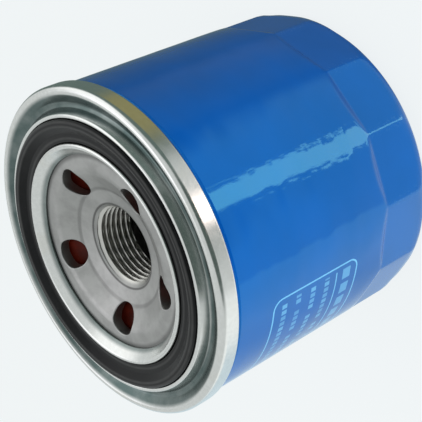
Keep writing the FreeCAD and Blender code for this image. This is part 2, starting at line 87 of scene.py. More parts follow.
class FilterSizes(PropertyGroup):
    """Sizes that the visible surfaces are worked out from."""

    ring_radius: length("Ring radius", "Outside of the seam ring", LID_BOX[1].x)
    ring_top: length("Ring front", "Front of the seam ring", 0.07085)
    lip_top: length("Lip front", "Front of the lid's inner lip and of the crest", LID_BOX[1].z)
    seam_bottom: length("Seam bottom", "Lower edge of the seam ring", LID_BOX[0].z)
    lid_sheet: length("Lid sheet", "Thickness of the lid", 0.0005)
    can_radius: length("Can radius", "Outside of the can", 0.0392)
    can_sheet: length("Can sheet", "Thickness of the can", 0.00045)
    can_neck: length("Can neck", "Inside of the can's rim in the seam", 0.03795)
    can_rim: length("Can rim", "Top of the can's rim inside the seam", CAN_BOX[1].z)
    can_corner: length("Can corner", "Corner radius of the closed end", 0.0063)
    dimple_radius: length("Dimple radius", "Shallow recess in the closed end", 0.022)
    dimple_depth: length("Dimple depth", "Depth of that recess", 0.001)
    flat_top: length("Flat top", "Where a wrench flat runs out", 0.0195)
    flat_softness: length("Flat softness", "Rounding of the ribs between flats", 0.0002)
    lid_inside: length("Lid inside", "Inside of the lid's lip", 0.02375)
    crest_outside: length("Crest outside", "Where the crest drops to the channel", 0.0337)
    channel_inside: length("Channel inside", "Inner foot of the channel", 0.03475)
    channel_outside: length("Channel outside", "Outer foot of the channel", 0.0359)
    ring_inside: length("Ring inside", "Where the channel's slope meets the seam ring's face", 0.0382)
    groove_floor: length("Groove floor", "Floor of the gasket groove", GASKET_BOX[0].z)
    channel_floor: length("Channel floor", "Floor of the channel inside the ring", 0.0691)
    gasket_top: length("Gasket top", "Sealing face of the gasket", GASKET_BOX[1].z)
    gasket_radius: length("Gasket radius", "Outside of the gasket", GASKET_BOX[1].x)
    gasket_inside: length("Gasket inside", "Inside of the gasket", 0.02705)
    gasket_crease: length("Gasket crease", "Foot of the slope up to the sealing band", 0.0293)
    plate_radius: length("Plate radius", "Outside of the base plate", PLATE_BOX[1].x)
    plate_sheet: length("Plate sheet", "Thickness of the base plate", 0.0026)
    shelf_top: length("Shelf top", "Level rim of the plate's dish", PLATE_BOX[1].z)
    shelf_radius: length("Shelf radius", "Inside of that rim", 0.0201)
    hub_top: length("Hub top", "Mouth of the thread", 0.0653)
    hub_radius: length("Hub radius", "Knee between the hub and the dish's slope", 0.0144)
    neck_radius: length("Neck radius", "Outside of the threaded neck", 0.0124)
    neck_bottom: length("Neck bottom", "Lower end of the threaded neck", PLATE_BOX[0].z)
    thread_minor: length("Thread crest", "Crest radius of the thread", 0.00919)
    thread_major: length("Thread root", "Root radius of the thread", 0.01)
    thread_pitch: length("Thread pitch", "Pitch of the thread", 0.0015)
    inlet_circle: length("Inlet circle", "Radius of the circle of inlet holes", 0.01795)
    inlet_radius: length("Inlet radius", "Radius of an inlet hole", 0.0036)
    hold_bottom: length("Hold-down spring bottom", "Lower end of the hold-down spring", 0.0015)
    hold_top: length("Hold-down spring top", "Upper end of the hold-down spring", 0.01195)
    bypass_bottom: length("Bypass spring bottom", "Lower end of the bypass spring", 0.01425)
    bypass_top: length("Bypass spring top", "Upper end of the bypass spring", 0.02445)
    flats: IntProperty(name="Flats", description="Wrench flats round the closed end", default=14, min=3)
    inlets: IntProperty(name="Inlets", description="Inlet holes in the base plate", default=5, min=1)
    flat_turn: FloatProperty(name="Flat turn", description="Angle of the first flat",
                             default=math.radians(7.05), unit="ROTATION")


class FilterColours(PropertyGroup):
    """Colours of the finishes."""

    enamel: colour("Enamel", "Blue enamel of the can", 0.001, 0.088, 0.44)
    print_ink: colour("Print", "Pale blue print on the enamel", 0.16, 0.5, 0.88)
    tin: colour("Tin plate", "Bright tin-plated sheet", 0.78, 0.79, 0.77)
    steel: colour("Pressed steel", "Grey base plate", 0.40, 0.40, 0.39)
    rubber: colour("Gasket rubber", "Black nitrile rubber", 0.004, 0.0043, 0.0047)
    # The valve's red is darkened below the rubber's own colour: painted shade, as the valve sits under the
    # plate.
    valve: colour("Valve rubber", "Red silicone rubber", 0.055, 0.005, 0.002)
    paper: colour("Filter paper", "Resin-treated paper", 0.62, 0.48, 0.22)
    adhesive: colour("Adhesive", "Cured adhesive in the end caps", 0.5, 0.4, 0.22)
    spring: colour("Spring wire", "Oiled spring steel", 0.24, 0.24, 0.25)
    compound: colour("Seam compound", "Sealing compound in the seam", 0.3, 0.3, 0.27)
    floor: colour("Floor", "Pale studio floor", 0.855, 0.889, 0.896)


class StudioSettings(PropertyGroup):
    """Camera and light."""

    camera_place: FloatVectorProperty(name="Camera place", description="Where the camera stands",
                                      default=(0.152517, 0.164584, 0.198301), size=3, subtype="TRANSLATION")
    camera_turn: FloatVectorProperty(name="Camera turn", description="How the camera is turned",
                                     default=[math.radians(a) for a in (-31.2147, 47.2148, 8.0240)],
                                     size=3, subtype="EULER")
    lens: FloatProperty(name="Lens", description="Focal length", default=96.377, min=1, unit="CAMERA")
    world_strength: FloatProperty(name="Surroundings", description="Strength of the studio's light",
                                  default=1.0, min=0)
    key_power: FloatProperty(name="Key power", description="Power of the main soft light", default=1.9,
                             min=0, unit="POWER")
    floor_width: length("Floor width", "Width of the floor", 6.0)


def sizes_in_mm(context):
    """The sizes as plain millimetres, with the counts and the angle as they are."""
    kept = context.scene.filter_sizes
    plain = {"flats", "inlets", "flat_turn"}
    sizes = {name: getattr(kept, name) for name in FilterSizes.__annotations__}
    return SimpleNamespace(**{name: size if name in plain else size / MM for name, size in sizes.items()})


# ---- Sections and surfaces ----

ARC_STEPS, RING_STEPS, FLAT_STEPS = 7, 480, 48
SUPPORT = 0.05


def rounded(corners, closed=True):
    """A section through corners (radius, height, rounding), as an array of points.

    A rounding is an arc tangent to both sides: it starts and ends rounding / tan(half the corner's angle)
    from the corner, and its centre is rounding / sin(half the angle) along the bisector. A point just outside
    each end of an arc keeps the flats beside it flat.
    """
    here = np.array([c[:2] for c in corners], float)
    radii = [c[2] if len(c) > 2 else 0.0 for c in corners]
    out = []
    for i, radius in enumerate(radii):
        if not radius or (not closed and i in (0, len(radii) - 1)):
            out.append(here[i][None])
            continue
        back, ahead = here[i - 1] - here[i], here[(i + 1) % len(here)] - here[i]
        room = min(np.linalg.norm(back), np.linalg.norm(ahead))
        back, ahead = back / np.linalg.norm(back), ahead / np.linalg.norm(ahead)
        half = math.acos(np.clip(back @ ahead, -1, 1)) / 2
        reach = radius / math.tan(half)
        bisector = (back + ahead) / np.linalg.norm(back + ahead)
        centre = here[i] + bisector * radius / math.sin(half)
        first, last = here[i] + back * reach - centre, here[i] + ahead * reach - centre
        turn = math.atan2(first[0] * last[1] - first[1] * last[0], first @ last)
        angles = np.linspace(0, turn, ARC_STEPS)
        arc = centre + np.outer(np.cos(angles), first) + np.outer(np.sin(angles), [-first[1], first[0]])
        extra = min(SUPPORT, max(room - reach, 0) / 3)
        out += [(here[i] + back * (reach + extra))[None], arc, (here[i] + ahead * (reach + extra))[None]]
    return np.concatenate(out)


def refined(section, radius, high, longest):
    """The same section with its sides outside a radius and below a height divided into short ones."""
    out = []
    for start, end in zip(section, np.roll(section, -1, axis=0)):
        inside = min(start[0], end[0]) > radius and max(start[1], end[1]) < high
        count = max(1, math.ceil(np.linalg.norm(end - start) / longest)) if inside else 1
        steps = np.linspace(0, 1, count, endpoint=False)[:, None]
        out.append(start + steps * (end - start))
    return np.concatenate(out)


def turned(section, count, start=0.0, radius_at=None):
    """A section turned about Z.

    Point (i, j) is (r cos a, r sin a, z), with r and z of section point i and the angle a of step j.
    radius_at(r, z, a) may change the radius.
    """
    angle = start + np.arange(count) * (2 * math.pi / count)
    radius = np.broadcast_to(section[:, :1], (len(section), count))
    height = np.broadcast_to(section[:, 1:], radius.shape)
    if radius_at:
        radius = radius_at(radius, height, angle[None])
    return np.stack([radius * np.cos(angle), radius * np.sin(angle), height], axis=-1)


def quads(rows, columns, wrap_rows, wrap_columns, first):
    """Corner numbers of a grid's faces, joined end to end where it wraps."""
    i = np.arange(rows if wrap_rows else rows - 1)[:, None]
    j = np.arange(columns if wrap_columns else columns - 1)[None]
    below, right = (i + 1) % rows, (j + 1) % columns
    corners = [i * columns + j, i * columns + right, below * columns + right, below * columns + j]
    return np.stack(np.broadcast_arrays(*corners), axis=-1).reshape(-1, 4) + first


WELD, ZERO_WIDTH, SHARP = 2e-6, 1e-7, math.radians(38)


def mesh_from(name, patches):
    """One closed mesh from patches (grid of points in mm, rows wrap, columns wrap).

    The patches' shared edges are welded, zero-width faces go, and the normals are turned outwards.
    """
    points, faces, first = [], [], 0
    for grid, wrap_rows, wrap_columns in patches:
        rows, columns = grid.shape[:2]
        points.append(grid.reshape(-1, 3))
        faces.append(quads(rows, columns, wrap_rows, wrap_columns, first))
        first += rows * columns
    points, faces = np.concatenate(points) * MM, np.concatenate(faces)
    mesh = bpy.data.meshes.new(name)
    mesh.vertices.add(len(points))
    mesh.vertices.foreach_set("co", points.astype(np.float32).ravel())
    mesh.loops.add(faces.size)
    mesh.loops.foreach_set("vertex_index", faces.astype(np.int32).ravel())
    mesh.polygons.add(len(faces))
    mesh.polygons.foreach_set("loop_start", np.arange(0, faces.size, 4, dtype=np.int32))
    mesh.update(calc_edges=True)
    work = bmesh.new()
    work.from_mesh(mesh)
    bmesh.ops.remove_doubles(work, verts=work.verts, dist=WELD)
    bmesh.ops.dissolve_degenerate(work, edges=work.edges, dist=ZERO_WIDTH)
    bmesh.ops.recalc_face_normals(work, faces=work.faces)
    work.to_mesh(mesh)
    work.free()
    mesh.shade_smooth()
    mesh.set_sharp_from_angle(angle=SHARP)
    return mesh


def add_piece(name, mesh, body, slot, material, *nodes):
    """Put a finished mesh in the scene, on its CAD body, in place of CAD nodes."""
    mesh.materials.append(material)
    piece = bpy.data.objects.new(name, mesh)
    bpy.context.scene.collection.objects.link(piece)
    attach(piece, body)
    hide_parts(*nodes)
    return piece


def finish_nodes(material, *names):
    """Give CAD nodes a finish."""
    for name in names:
        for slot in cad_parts[name].material_slots:
            slot.material = material


# ---- Shader maths ----

class Value:
    """A socket's output. Arithmetic on it adds Math nodes."""

    def __init__(self, graph, socket):
        self.graph, self.socket = graph, socket

    def math(self, operation, *others):
        """A Math node of this value and others."""
        return self.graph.node("ShaderNodeMath", {"operation": operation}, dict(enumerate((self, *others))))

    def __add__(self, other):
        return self.math("ADD", other)

    def __sub__(self, other):
        return self.math("SUBTRACT", other)

    def __rsub__(self, other):
        return self.graph.number(other).math("SUBTRACT", self)

    def __mul__(self, other):
        return self.math("MULTIPLY", other)

    def __truediv__(self, other):
        return self.math("DIVIDE", other)

    def __pow__(self, other):
        return self.math("POWER", other)

    __radd__ = __add__
    __rmul__ = __mul__

    def step(self, low, high):
        """0 below low, 1 above high and smooth between. High may be under low."""
        return self.graph.node("ShaderNodeMapRange", {"interpolation_type": "SMOOTHSTEP", "clamp": True},
                               {"Value": self, "From Min": low, "From Max": high})


class Graph:
    """A node tree and short ways to add to it."""

    def __init__(self, tree):
        self.tree = tree

    def put(self, socket, value):
        """Set a socket to a constant, or link it to a value."""
        if isinstance(value, Value):
            self.tree.links.new(value.socket, socket)
        else:
            socket.default_value = value

    def node(self, kind, settings=None, inputs=None, output=0):
        """Add a node: its settings first, then the values or links of its sockets."""
        node = self.tree.nodes.new(kind)
        for name, value in (settings or {}).items():
            setattr(node, name, value)
        for name, value in (inputs or {}).items():
            self.put(node.inputs[name], value)
        return Value(self, node.outputs[output])

    def number(self, value):
        """A constant as a value."""
        node = self.tree.nodes.new("ShaderNodeValue")
        node.outputs[0].default_value = value
        return Value(self, node.outputs[0])

    def vector(self, x, y, z=0.0):
        """Three values as one vector."""
        return self.node("ShaderNodeCombineXYZ", {}, {"X": x, "Y": y, "Z": z})

    def axes(self):
        """The point on the piece as three values in millimetres."""
        point = self.node("ShaderNodeTexCoord", output="Object")
        split = self.node("ShaderNodeSeparateXYZ", {}, {"Vector": point}).socket.node
        return [Value(self, split.outputs[axis]) * (1 / MM) for axis in "XYZ"]

    def point(self):
        """The point on the piece as one vector in millimetres."""
        return self.vector(*self.axes())

    def around(self):
        """Cylinder coordinates of the point: distance from the axis, angle in radians, height in mm."""
        x, y, z = self.axes()
        return (x * x + y * y) ** 0.5, y.math("ARCTAN2", x), z

    def noise(self, vector, scale, detail=3.0, roughness=0.55):
        """Fractal noise from 0 to 1, scale in cells per unit of the vector."""
        return self.node("ShaderNodeTexNoise", {},
                         {"Vector": vector, "Scale": scale, "Detail": detail, "Roughness": roughness})

    def mix(self, amount, first, second):
        """A colour between two colours."""
        node = self.tree.nodes.new("ShaderNodeMix")
        node.data_type = "RGBA"
        sockets = {socket.identifier: socket for socket in (*node.inputs, *node.outputs)}
        self.put(sockets["Factor_Float"], amount)
        for name, value in (("A_Color", first), ("B_Color", second)):
            self.put(sockets[name], value if isinstance(value, Value) else (*value, 1.0))
        return Value(self, sockets["Result_Color"])

    def bump(self, height, distance, strength=1.0):
        """A normal from a height of 0 to 1 that stands for a distance in millimetres."""
        return self.node("ShaderNodeBump", {},
                         {"Height": height, "Distance": distance * MM, "Strength": strength}, "Normal")


def new_finish(name):
    """A new material, its graph and its main shader."""
    material = bpy.data.materials.new(name)
    material.use_nodes = True
    graph = Graph(material.node_tree)
    shader = next(n for n in material.node_tree.nodes if n.type == "BSDF_PRINCIPLED")
    return material, graph, shader


def shaded(colour_value, share):
    """A colour made darker or lighter."""
    return tuple(min(c * share, 1.0) for c in colour_value)


# ---- Finishes ----

PRINT_PANEL = SimpleNamespace(start=7.4, stop=-62.0, low=28.0, high=55.0, corner=2.6, line=0.15)
PRINT_ROWS = SimpleNamespace(heights=(51.6, 47.2, 42.5, 38.0), half=0.7, pitch=1.7, shift=0.7)
PRINT_RULE = SimpleNamespace(height=34.9, half=0.12)
PRINT_TITLE = SimpleNamespace(height=31.5, half=1.2, pitch=4.4, ink=0.6)
INK_EDGE = 0.12


def panel_distance(arc, height, radius):
    """How far a place on the can is outside the printed panel's rounded rectangle, under 0 inside it."""
    panel = PRINT_PANEL
    left, right = (radius * math.radians(a) for a in (panel.stop, panel.start))
    middle, half_width = (left + right) / 2, (right - left) / 2
    centre, half_height = (panel.low + panel.high) / 2, (panel.high - panel.low) / 2
    across = (arc - middle).math("ABSOLUTE") - (half_width - panel.corner)
    up = (height - centre).math("ABSOLUTE") - (half_height - panel.corner)
    outside = (across.math("MAXIMUM", 0.0) ** 2 + up.math("MAXIMUM", 0.0) ** 2) ** 0.5
    return outside + across.math("MAXIMUM", up).math("MINIMUM", 0.0) - panel.corner


def stripe(height, centre, half):
    """A soft-edged stripe round the can, as a mask."""
    return (height - centre).math("ABSOLUTE").step(half + INK_EDGE, half)


def print_row(graph, arc, height, row):
    """A row of short blocks at a steady pitch. A random number per block leaves some out."""
    cells = (arc + PRINT_ROWS.shift * row) / PRINT_ROWS.pitch
    chance = graph.node("ShaderNodeTexWhiteNoise", {"noise_dimensions": "2D"},
                        {"Vector": graph.vector(cells.math("FLOOR"), float(row))})
    block = (cells.math("FRACT") - 0.5).math("ABSOLUTE").step(0.42, 0.28) * chance.step(0.16, 0.2)
    return stripe(height, PRINT_ROWS.heights[row], PRINT_ROWS.half) * block * (0.35 + 0.35 * chance)


def print_title(arc, height):
    """A row of wide, taller blocks, as a mask."""
    gap = ((arc / PRINT_TITLE.pitch).math("FRACT") - 0.5).math("ABSOLUTE").step(0.37, 0.33)
    tall = (height - PRINT_TITLE.height).math("ABSOLUTE").step(PRINT_TITLE.half + 0.15, PRINT_TITLE.half)
    return tall * gap * PRINT_TITLE.ink


def printed_panel(graph, arc, height, radius):
    """Ink on the can: a plain outlined panel with rows of plain marks, as a mask."""
    distance = panel_distance(arc, height, radius)
    outline = distance.math("ABSOLUTE").step(PRINT_PANEL.line + INK_EDGE, PRINT_PANEL.line)
    marks = stripe(height, PRINT_RULE.height, PRINT_RULE.half).math("MAXIMUM", print_title(arc, height))
    for row in range(len(PRINT_ROWS.heights)):
        marks = marks.math("MAXIMUM", print_row(graph, arc, height, row))
    return outline.math("MAXIMUM", marks * distance.step(-1.2, -1.6))


# The rib colour is a painted highlight blue, with rubbed paint.
RIB_HIGHLIGHT_AND_WEAR = (0.12, 0.32, 0.62)
PAINT_TINT = (0.18, 1.0, 0.95, 1.0)


def blue_enamel(colours, s):
    """Glossy enamel on drawn sheet: faint orange peel, slow waves of the sheet, lighter ribs (painted
    highlight with rubbed paint) and hairlines.
    """
    material, graph, shader = new_finish("blue_enamel")
    radius, angle, height = graph.around()
    arc, point = angle * s.can_radius, graph.point()
    cloud = graph.noise(point, 0.06, 2.0)
    paint = graph.mix(cloud.step(0.3, 0.7), shaded(colours.enamel, 0.93), shaded(colours.enamel, 1.06))
    # Lighter blue in patches along the ribs between flats: painted highlight, with rubbed paint.
    rib = radius.step(s.can_radius - 0.42, s.can_radius - 0.12)
    rib = rib * height.step(s.flat_top - 1.5, s.flat_top - 4.5)
    highlight_and_scuff = graph.noise(point, 1.7, 5.0, 0.7).step(0.52, 0.72)
    paint = graph.mix(rib * highlight_and_scuff * 0.35, paint, RIB_HIGHLIGHT_AND_WEAR)
    ink = printed_panel(graph, arc, height, s.can_radius)
    paint = graph.mix(ink, paint, tuple(colours.print_ink))
    hairline = graph.noise(graph.vector(arc * 0.12, height * 3.5), 1.0, 4.0, 0.7).step(0.66, 0.78)
    dust = graph.noise(point, 2.6, 4.0, 0.75).step(0.66, 0.8)
    graph.put(shader.inputs["Base Color"], paint)
    graph.put(shader.inputs["Roughness"], 0.05 + 0.05 * hairline * cloud + 0.07 * dust + 0.06 * rib)
    shader.inputs["IOR"].default_value = 1.7
    shader.inputs["Specular Tint"].default_value = PAINT_TINT
    peel = graph.noise(point, 0.9, 2.0)
    wave = graph.noise(graph.vector(arc, height * 0.6), 0.045, 1.0)
    dents = graph.noise(graph.vector(arc * 0.5, height), 0.12, 1.0)
    relief = peel * 0.006 + wave * 0.3 + dents * 0.4 * height.step(12.0, 26.0) + ink * 0.01
    graph.put(shader.inputs["Normal"], graph.bump(relief, 1.0, 0.6))
    return material


# The last colour is painted shade and dark reflection for the lid's channel and lip.
OLD_TIN, TIN_FLECK, PAINTED_TIN_SHADE = (0.70, 0.69, 0.62), (0.45, 0.45, 0.43), (0.105, 0.145, 0.14)


def lid_painted_shade(graph, s):
    """Painted shade and dark reflection in the lid's channel, and painted shade in the crevice inside its
    lip, as a mask.

    The channel's painted shade starts at a line that wanders in and out once round the lid.
    """
    radius, angle, height = graph.around()
    # Painted shade and dark reflection across the channel.
    start = s.crest_outside + 0.1 + 0.75 * (angle - 0.35).math("COSINE")
    channel = (radius - start).step(-0.3, 0.5) * radius.step(s.ring_inside + 0.3, s.ring_inside - 0.9)
    channel = channel * height.step(s.lip_top - 0.05, s.lip_top - 1.05)
    # Painted shade on the lip's inner slope, down to the crevice.
    return channel.math("MAXIMUM", radius.step(s.lid_inside + 1.15, s.lid_inside + 0.25) * 0.8)


def tin_plate(colours, name, gloss, s=None):
    """Bright tin on thin sheet: draw lines round it, a frosted mottle and rubbed spots. Given the lid's
    sizes, painted shade in its channel and inside its lip too."""
    material, graph, shader = new_finish(name)
    radius, _, height = graph.around()
    point = graph.point()
    mottle = graph.noise(point, 0.9, 4.0, 0.6)
    smear = graph.noise(point, 0.16, 3.0)
    rings = graph.noise(graph.vector(radius * 3.0, height * 3.0), 1.0, 4.0, 0.65)
    fleck = graph.noise(point, 3.2, 3.0, 0.7).step(0.66, 0.78)
    tin = graph.mix(mottle.step(0.35, 0.7), shaded(colours.tin, 0.94), tuple(colours.tin))
    tin = graph.mix(smear.step(0.52, 0.75) * 0.3, tin, OLD_TIN)
    if s:
        # Painted shade and dark reflection in the channel, painted shade inside the lip.
        painted_shade = lid_painted_shade(graph, s) * (0.7 + 0.5 * smear)
        tin = graph.mix(painted_shade.math("MINIMUM", 1.0), tin, PAINTED_TIN_SHADE)
    graph.put(shader.inputs["Base Color"], graph.mix(fleck * 0.25, tin, TIN_FLECK))
    shader.inputs["Metallic"].default_value = 1.0
    graph.put(shader.inputs["Roughness"], gloss + 0.10 * mottle + 0.08 * smear + 0.12 * fleck)
    graph.put(shader.inputs["Normal"], graph.bump(rings * 0.6 + mottle * 0.4, 0.012, 0.5))
    return material


CUT_THREAD = (0.66, 0.65, 0.61)


def thread_and_painted_shade(graph, s):
    """The cut thread, and painted shade lines at its mouth (with grime there), along the hub's knee and
    under the lid's lip, as two masks."""
    radius, _, height = graph.around()
    bore, knee, lip = radius - s.thread_major, radius - s.hub_radius, radius - s.lid_inside
    cut = bore.step(0.6, 0.3) * (height - s.hub_top).step(-0.4, -1.1)
    # The mouth's, knee's and lip's dark lines are painted shade; the mouth's line holds grime too.
    mouth = bore.step(0.3, 0.5) * bore.step(1.0, 0.7)
    knee = knee.step(-0.5, 0.0) * knee.step(0.9, 0.3)
    lip = lip.step(-1.35, -0.25) * (height - s.shelf_top).step(-1.05, -0.45)
    return cut, mouth.math("MAXIMUM", knee * 0.45).math("MAXIMUM", lip * 0.8)


def pressed_steel(colours, name, darker, s=None):
    """Satin steel from the press: fine grain, faint rings, darker stain and small bright nicks. Given the
    plate's sizes, the cut thread and painted shade lines too."""
    material, graph, shader = new_finish(name)
    radius, _, height = graph.around()
    point = graph.point()
    grain = graph.noise(point, 5.0, 4.0, 0.7)
    stain = graph.noise(point, 0.22, 4.0, 0.6)
    rings = graph.noise(graph.vector(radius * 2.2, height * 2.2), 1.0, 3.0, 0.6)
    nick = graph.noise(point, 1.9, 5.0, 0.75).step(0.67, 0.75)
    base = shaded(colours.steel, darker)
    steel = graph.mix(stain.step(0.35, 0.75), base, shaded(base, 0.78))
    steel = graph.mix(grain.step(0.3, 0.75) * 0.35, steel, shaded(base, 1.22))
    steel = graph.mix(nick * 0.4, steel, shaded(base, 1.6))
    rough = 0.27 + 0.12 * grain + 0.12 * stain - 0.08 * nick
    if s:
        cut, lines = thread_and_painted_shade(graph, s)
        steel = graph.mix(cut * 0.9, steel, CUT_THREAD)
        # Painted shade lines at the thread's mouth (with grime), along the hub's knee and under the lid's
        # lip.
        steel = graph.mix(lines * 0.8, steel, shaded(base, 0.25))
        rough = rough - 0.08 * cut
    graph.put(shader.inputs["Base Color"], steel)
    shader.inputs["Metallic"].default_value = 1.0
    graph.put(shader.inputs["Roughness"], rough)
    graph.put(shader.inputs["Normal"], graph.bump(grain * 0.5 + rings * 0.5, 0.02, 0.45))
    return material


RUBBER_HIGHLIGHT_AND_WEAR, RUBBER_DUST = (0.09, 0.09, 0.088), (0.3, 0.3, 0.3)


def rubber(name, base, gloss, edges=()):
    """Moulded rubber: fine matt grain, faint mould rings, a little bloom and dust, and lighter rings along
    edges that are given as distances from the axis: painted highlights, with wear."""
    material, graph, shader = new_finish(name)
    radius, _, height = graph.around()
    point = graph.point()
    grain = graph.noise(point, 6.0, 4.0, 0.7)
    bloom = graph.noise(point, 0.3, 4.0, 0.6)
    rings = graph.noise(graph.vector(radius * 2.5, height * 2.5), 1.0, 3.0, 0.6)
    dust = graph.noise(point, 2.4, 4.0, 0.75).step(0.66, 0.76)
    tone = graph.mix(bloom.step(0.35, 0.75), tuple(base), shaded(base, 1.7))
    for edge in edges:
        # Lighter rings along the edges: painted highlights, with wear.
        highlight_and_wear = (radius - edge).math("ABSOLUTE").step(0.42, 0.1) * (0.35 + 0.65 * bloom)
        tone = graph.mix(highlight_and_wear * 0.5, tone, RUBBER_HIGHLIGHT_AND_WEAR)
    graph.put(shader.inputs["Base Color"], graph.mix(dust * 0.25, tone, RUBBER_DUST))
    graph.put(shader.inputs["Roughness"], gloss + 0.14 * bloom + 0.1 * grain + 0.15 * dust)
    shader.inputs["IOR"].default_value = 1.27
    graph.put(shader.inputs["Normal"], graph.bump(grain * 0.5 + rings * 0.5, 0.03, 0.5))
    return material


PAPER_FIBRE = (0.8, 0.7, 0.45)


def filter_paper(colours):
    """Resin-treated paper: tangled fibres, soft blotches and a matt surface."""
    material, graph, shader = new_finish("filter_paper")
    x, y, z = graph.axes()
    fibre = graph.noise(graph.vector(x * 2.0, y * 2.0, z * 0.5), 1.5, 6.0, 0.75)
    blotch = graph.noise(graph.vector(x, y, z), 0.12, 3.0)
    paper = graph.mix(blotch.step(0.3, 0.7), tuple(colours.paper), shaded(colours.paper, 0.8))
    graph.put(shader.inputs["Base Color"], graph.mix(fibre.step(0.5, 0.8) * 0.5, paper, PAPER_FIBRE))
    graph.put(shader.inputs["Roughness"], 0.8 + 0.15 * fibre)
    graph.put(shader.inputs["Normal"], graph.bump(fibre, 0.08, 0.7))
    return material


def cured(name, base, gloss):
    """Cured adhesive or compound: smooth skin with bubbles and slow flow marks."""
    material, graph, shader = new_finish(name)
    point = graph.point()
    flow = graph.noise(point, 0.35, 3.0)
    bubble = graph.noise(point, 2.2, 2.0).step(0.62, 0.72)
    tone = graph.mix(flow.step(0.3, 0.7), tuple(base), shaded(base, 0.75))
    graph.put(shader.inputs["Base Color"], graph.mix(bubble * 0.4, tone, shaded(base, 0.45)))
    graph.put(shader.inputs["Roughness"], gloss + 0.2 * flow)
    graph.put(shader.inputs["Normal"], graph.bump(flow - bubble * 0.3, 0.15, 0.6))
    return material


def spring_wire(colours):
    """Oiled spring steel: drawn lines along the wire, dark oil in patches."""
    material, graph, shader = new_finish("spring_wire")
    x, y, z = graph.axes()
    drawn = graph.noise(graph.vector(x * 0.8, y * 0.8, z * 6.0), 1.0, 4.0, 0.7)
    oil = graph.noise(graph.vector(x, y, z), 0.4, 3.0)
    wire = graph.mix(oil.step(0.4, 0.7), tuple(colours.spring), shaded(colours.spring, 0.55))
    graph.put(shader.inputs["Base Color"], graph.mix(drawn * 0.3, wire, shaded(colours.spring, 1.8)))
    shader.inputs["Metallic"].default_value = 1.0
    graph.put(shader.inputs["Roughness"], 0.28 + 0.25 * oil)
    graph.put(shader.inputs["Normal"], graph.bump(drawn, 0.02, 0.5))
    return material


# ---- Pieces ----

def can_section(s):
    """The can's wall: dimpled closed end, round corner, straight side, neck, and the hook in the seam."""
    t = s.can_sheet
    hook = s.ring_radius - s.lid_sheet - 0.1
    flat_wall = s.can_radius * math.cos(math.pi / s.flats) - t
    corners = [
        (0, s.dimple_depth), (s.dimple_radius, s.dimple_depth, 0.8), (s.dimple_radius + 1.5, 0, 0.8),
        (s.can_radius, 0, s.can_corner), (s.can_radius, s.flat_top + 5),
        (s.can_radius, s.seam_bottom - 1.0, 0.4), (s.can_neck + t, s.seam_bottom - 0.1),
        (s.can_neck + t, s.can_rim - t), (hook - t, s.can_rim - t),
        (hook - t, s.seam_bottom + 1.2), (hook, s.seam_bottom + 1.2), (hook, s.can_rim, 0.35),
        (s.can_neck, s.can_rim, 0.35), (s.can_neck, s.seam_bottom - 0.3),
        (s.can_radius - t, s.seam_bottom - 1.2), (s.can_radius - t, s.flat_top + 1),
        (flat_wall, s.flat_top - 1), (flat_wall, t, s.can_corner - 1.2), (s.dimple_radius + 1.7, t),
        (s.dimple_radius + 0.2, s.dimple_depth + t), (0, s.dimple_depth + t),
    ]
    return refined(rounded(corners), s.can_radius - 0.1, s.flat_top + 6, 0.35)


def flatten(s):
    """The wrench flats' effect on a radius, as a function for turned().

    Each flat is a plane that leans outwards where it runs out, so its distance from the axis grows with
    height. Along the angle a from the flat's middle it is that distance / cos a. The result is the smooth
    minimum of the round radius and the plane's: half of their sum less the root of their squared difference
    plus a softness.
    """
    apothem = s.can_radius * math.cos(math.pi / s.flats)
    pitch = 2 * math.pi / s.flats
    heights = [s.flat_top - 2.2, s.flat_top, s.flat_top + 8]
    distances = [apothem, s.can_radius, s.can_radius + 3]

    def radius_at(radius, height, angle):
        plane = np.interp(height, heights, distances)
        plane = np.where(height > s.flat_top + 4, 2 * s.can_radius, plane)
        lean = (angle - s.flat_turn + pitch / 2) % pitch - pitch / 2
        flat = plane / np.cos(lean)
        return (radius + flat - np.sqrt((radius - flat) ** 2 + s.flat_softness ** 2)) / 2

    return radius_at


def lid_section(s):
    """The lid's sheet: inner lip, gasket groove, crest, channel, seam ring, and the hook under the can's
    rim. The way out is its face and the way back its underside."""
    t, groove_in, groove_out = s.lid_sheet, s.gasket_inside - 0.1, s.gasket_radius + 0.1
    sleeve = s.can_neck + s.can_sheet + 0.05
    hook = s.ring_radius - t - 0.1 - s.can_sheet - 0.05
    lip_foot, lip_crest = s.shelf_top + 0.07, s.lid_inside + 2.25
    face = [
        (s.lid_inside, lip_foot), (s.lid_inside, s.shelf_top + 0.35, 0.5), (lip_crest, s.lip_top, 0.9),
        (groove_in, s.lip_top, 0.5), (groove_in, s.groove_floor, 0.3), (groove_out, s.groove_floor, 0.3),
        (groove_out, s.lip_top, 0.4), (s.crest_outside, s.lip_top, 0.5),
        (s.channel_inside, s.channel_floor, 0.9), (s.channel_outside, s.channel_floor, 1.6),
        (s.ring_inside, s.ring_top, 1.2), (s.ring_radius, s.ring_top, 1.3),
        (s.ring_radius, s.seam_bottom, 0.6), (sleeve, s.seam_bottom, 0.3), (sleeve, s.can_rim - 0.8),
    ]
    underside = [
        (hook, s.can_rim - 0.8), (hook, s.seam_bottom + t), (s.ring_radius - t, s.seam_bottom + t),
        (s.ring_radius - t, s.ring_top - t, 0.8), (s.ring_inside + 0.17, s.ring_top - t, 0.6),
        (s.channel_outside + 0.17, s.channel_floor - t, 2.0),
        (s.channel_inside - 0.33, s.channel_floor - t, 0.4), (s.crest_outside - 0.4, s.lip_top - t),
        (groove_out + t, s.groove_floor - t, 0.3), (groove_in - t, s.groove_floor - t, 0.3),
        (groove_in - t, s.lip_top - t - 0.05), (lip_crest + 0.2, s.lip_top - t - 0.05, 0.3),
        (s.lid_inside + t, lip_foot),
    ]
    return rounded(face + underside)


